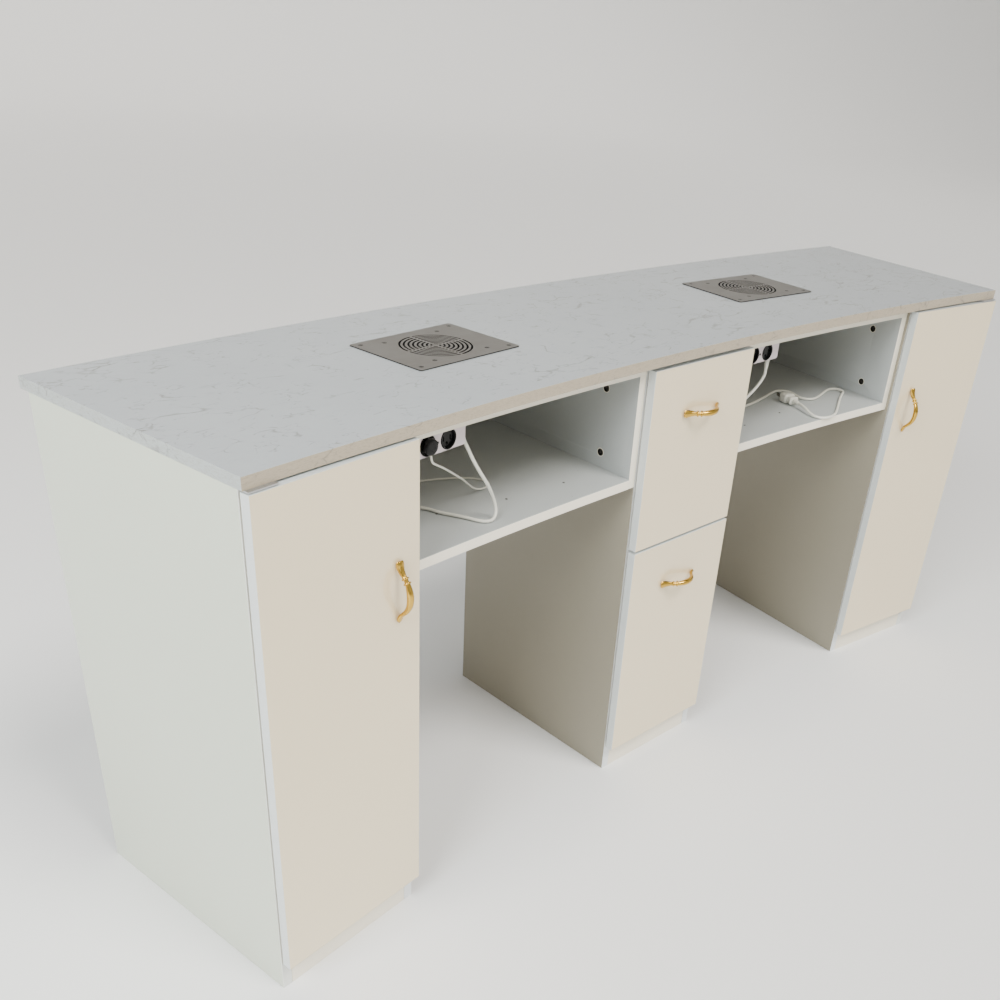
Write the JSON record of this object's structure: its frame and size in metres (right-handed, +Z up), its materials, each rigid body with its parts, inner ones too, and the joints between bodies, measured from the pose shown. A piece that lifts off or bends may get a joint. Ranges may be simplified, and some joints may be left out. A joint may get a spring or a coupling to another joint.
{
  "type": "manicure table",
  "caption": "Curved two-station manicure table: stone worktop with suction vents, drawer pedestal, two door cabinets, open cubbies, power strips, gold bow handles.",
  "frame": {"origin": "centre of the table's footprint box at floor level, the cords left out", "axes": "+Z up, +X along the table to the technicians' left-hand cabinet seen from behind them, so to the right seen from the front; -Y faces the technicians, where the doors and drawers open"},
  "size_m": [1.805, 0.4889, 0.7815],
  "materials": {
    "stone_top": "polished pale grey stone with fine wispy veins",
    "gloss_front": "high gloss warm white lacquered board",
    "gloss_side": "high gloss cool white lacquered board",
    "carcass": "satin white laminated board",
    "back_panel": "satin white thin board",
    "drawer_board": "satin white board",
    "vent_steel": "warm grey brushed stainless steel",
    "screw_steel": "bright zinc screw",
    "fan_black": "matte black",
    "guard_wire": "plated wire",
    "gold": "polished gold plating",
    "strip_white": "satin white plastic",
    "socket_black": "glossy black",
    "lead_white": "soft white flexible plastic",
    "bolt_dark": "dark zinc",
    "slide_steel": "zinc plated steel",
    "catch_grey": "grey plastic"
  },
  "bodies": {
    "table": {"worktop": "stone_top", "left_vent_plate": "vent_steel", "right_vent_plate": "vent_steel", "vent_screws": "screw_steel", "left_fan_frame": "fan_black", "right_fan_frame": "fan_black", "fan_guards": "guard_wire", "left_cubby_top": "carcass", "left_cubby_shelf": "carcass", "left_cubby_walls": "carcass", "right_cubby_top": "carcass", "right_cubby_shelf": "carcass", "right_cubby_walls": "carcass", "cubby_backs": "back_panel", "connector_bolts": "bolt_dark", "left_power_strip": "strip_white", "right_power_strip": "strip_white", "power_sockets": "socket_black", "lead_glands": "lead_white", "left_outer_side": "gloss_side", "left_inner_side": "carcass", "left_cabinet_bottom": "carcass", "right_outer_side": "gloss_side", "right_inner_side": "carcass", "right_cabinet_bottom": "carcass", "cabinet_shelves": "carcass", "cabinet_backs": "back_panel", "top_rails": "carcass", "plinths": "carcass", "pedestal_left_side": "carcass", "pedestal_right_side": "carcass", "pedestal_bottom": "carcass", "pedestal_back": "back_panel", "slide_rails": "slide_steel", "door_pivots": "slide_steel", "door_catches": "catch_grey", "fan_plug": "socket_black", "fan_lead": "lead_white", "left_lead": "lead_white", "left_lead_coil": "lead_white", "left_plug": "lead_white", "right_lead": "lead_white", "right_plug": "lead_white"},
    "left_door": {"left_door": "gloss_front", "left_door_handle": "gold"},
    "right_door": {"right_door": "gloss_front", "right_door_handle": "gold"},
    "upper_drawer": {"upper_drawer_front": "gloss_front", "upper_drawer_box": "drawer_board", "upper_drawer_runners": "slide_steel", "upper_drawer_handle": "gold"},
    "lower_drawer": {"lower_drawer_front": "gloss_front", "lower_drawer_box": "drawer_board", "lower_drawer_runners": "slide_steel", "lower_drawer_handle": "gold"},
    "upper_slide_link": {"upper_slide_links": "slide_steel"},
    "lower_slide_link": {"lower_slide_links": "slide_steel"},
    "left_fan": {"left_fan_rotor": "fan_black"},
    "right_fan": {"right_fan_rotor": "fan_black"}
  },
  "joints": [
    {"name": "left_door_hinge", "type": "hinge", "parent": "table", "child": "left_door", "pos_m": [-0.83846, -0.23775, 0.4], "axis": [0, 0, -1], "range_deg": [0, 100]},
    {"name": "right_door_hinge", "type": "hinge", "parent": "table", "child": "right_door", "pos_m": [0.83846, -0.23775, 0.4], "axis": [0, 0, 1], "range_deg": [0, 100]},
    {"name": "upper_drawer_slide", "type": "slide", "parent": "table", "child": "upper_drawer", "axis": [0, -1, 0], "range_m": [0, 0.3]},
    {"name": "lower_drawer_slide", "type": "slide", "parent": "table", "child": "lower_drawer", "axis": [0, -1, 0], "range_m": [0, 0.3]},
    {"name": "upper_link_slide", "type": "slide", "parent": "table", "child": "upper_slide_link", "axis": [0, -1, 0], "range_m": [0, 0.15]},
    {"name": "lower_link_slide", "type": "slide", "parent": "table", "child": "lower_slide_link", "axis": [0, -1, 0], "range_m": [0, 0.15]},
    {"name": "left_fan_spin", "type": "hinge", "parent": "table", "child": "left_fan", "pos_m": [-0.374, 0.03153, 0.768], "axis": [0, 0, 1], "continuous": true},
    {"name": "right_fan_spin", "type": "hinge", "parent": "table", "child": "right_fan", "pos_m": [0.374, 0.03153, 0.768], "axis": [0, 0, 1], "continuous": true}
  ],
  "couplings": [
    {"joint": "upper_link_slide", "follows": "upper_drawer_slide", "ratio": 0.5},
    {"joint": "lower_link_slide", "follows": "lower_drawer_slide", "ratio": 0.5}
  ]
}
